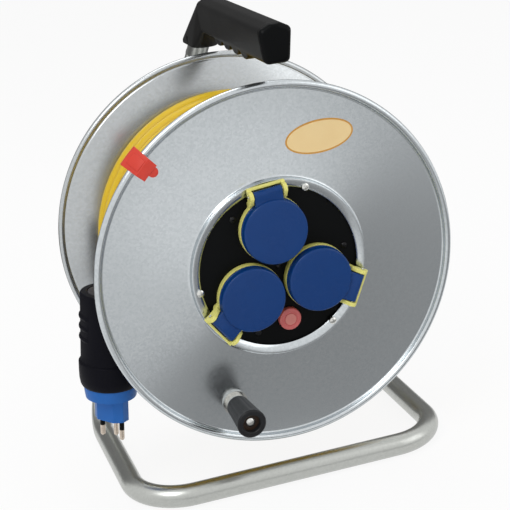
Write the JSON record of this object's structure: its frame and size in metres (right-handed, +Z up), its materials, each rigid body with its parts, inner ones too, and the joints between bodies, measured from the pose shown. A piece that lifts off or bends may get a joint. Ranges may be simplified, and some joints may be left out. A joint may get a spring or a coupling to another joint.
{
  "type": "extension cord reel",
  "caption": "Cable reel: sheet-steel drum of wound yellow cable with lidded sockets in its face and a crank knob, on a one-sided tube stand with a carrying handle.",
  "frame": {"origin": "on the floor under the middle of the reel, cable tail and plug not counted", "axes": "+Z up, -Y towards the socket face, +Y towards the uprights, +X to the right seen from the front"},
  "size_m": [0.3041, 0.2304, 0.376],
  "materials": {
    "galvanised_steel": "galvanised sheet and tube, satin",
    "bright_steel": "zinc plated, bright",
    "dark_steel": "blackened",
    "brass": "plain",
    "black_plastic": "moulded, fine texture",
    "grey_plastic": "moulded",
    "pale_yellow_plastic": "moulded",
    "white_plastic": "moulded",
    "blue_plastic": "moulded, half gloss",
    "light_blue_plastic": "moulded, half gloss",
    "red_plastic": "moulded, half gloss",
    "pink_plastic": "clear-tinted moulding",
    "yellow_sheath": "smooth cable sheath",
    "black_rubber": "moulded, dull"
  },
  "bodies": {
    "stand": {"frame_tube": "galvanised_steel", "bearing_plate": "galvanised_steel", "axle": "bright_steel", "axle_washers": "bright_steel", "axle_nuts": "bright_steel", "handle": "black_plastic", "handle_end_cap": "black_plastic", "handle_screw": "dark_steel", "plug_sleeve": "black_rubber", "plug_gland": "grey_plastic", "plug_insert": "light_blue_plastic", "plug_pins": "bright_steel", "plug_pin_collars": "black_plastic", "cable_tail": "yellow_sheath"},
    "drum": {"front_flange": "galvanised_steel", "rear_flange": "galvanised_steel", "barrel": "galvanised_steel", "hub_sleeve": "grey_plastic", "hub_rivets": "bright_steel", "barrel_rivets": "bright_steel", "mounting_ring": "galvanised_steel", "socket_plate": "black_plastic", "socket_box": "grey_plastic", "ring_screws": "bright_steel", "plate_screws": "dark_steel", "centre_screw": "dark_steel", "socket_body_1": "pale_yellow_plastic", "socket_body_2": "pale_yellow_plastic", "socket_body_3": "pale_yellow_plastic", "socket_insert_1": "pale_yellow_plastic", "socket_insert_2": "pale_yellow_plastic", "socket_insert_3": "pale_yellow_plastic", "socket_contacts": "brass", "collar_1": "pale_yellow_plastic", "collar_2": "pale_yellow_plastic", "collar_3": "pale_yellow_plastic", "lid_pins": "bright_steel", "lid_springs": "bright_steel", "thermal_cutout": "grey_plastic", "terminal_block": "white_plastic", "cable_core": "yellow_sheath", "cable_winding": "yellow_sheath", "cable_lead_in": "yellow_sheath", "cable_grommet": "black_rubber", "crank_pin": "bright_steel", "crank_washer": "bright_steel", "crank_spacer": "bright_steel", "crank_nut": "bright_steel"},
    "lid_1": {"lid_1": "blue_plastic"},
    "lid_2": {"lid_2": "blue_plastic"},
    "lid_3": {"lid_3": "blue_plastic"},
    "crank_knob": {"crank_knob": "black_plastic"},
    "reset_button": {"reset_button": "pink_plastic"},
    "cable_clip": {"cable_clip": "red_plastic"}
  },
  "joints": [
    {"name": "drum_spin", "type": "hinge", "parent": "stand", "child": "drum", "pos_m": [0, 0, 0.182], "axis": [0, 1, 0], "continuous": true, "deforming": ["cable_tail"]},
    {"name": "lid_1_hinge", "type": "hinge", "parent": "drum", "child": "lid_1", "pos_m": [-0.00669, -0.08196, 0.24565], "axis": [-0.9945, 0, -0.1045], "range_deg": [0, 110], "stiffness_Nm_per_rad": 0.006, "springref_deg": -57.3},
    {"name": "lid_2_hinge", "type": "hinge", "parent": "drum", "child": "lid_2", "pos_m": [-0.05178, -0.08196, 0.14438], "axis": [0.5878, 0, -0.809], "range_deg": [0, 110], "stiffness_Nm_per_rad": 0.006, "springref_deg": -57.3},
    {"name": "lid_3_hinge", "type": "hinge", "parent": "drum", "child": "lid_3", "pos_m": [0.05847, -0.08196, 0.15597], "axis": [0.4067, 0, 0.9135], "range_deg": [0, 110], "stiffness_Nm_per_rad": 0.006, "springref_deg": -57.3},
    {"name": "knob_spin", "type": "hinge", "parent": "drum", "child": "crank_knob", "pos_m": [-0.04606, -0.097, 0.07706], "axis": [0, 1, 0], "continuous": true},
    {"name": "reset_press", "type": "slide", "parent": "drum", "child": "reset_button", "axis": [0, 1, 0], "range_m": [0, 0.0025], "stiffness_N_per_m": 400, "springref_m": -0.003},
    {"name": "clip_turn", "type": "hinge", "parent": "drum", "child": "cable_clip", "pos_m": [0, -0.074, 0.182], "axis": [0, 1, 0], "continuous": true}
  ]
}
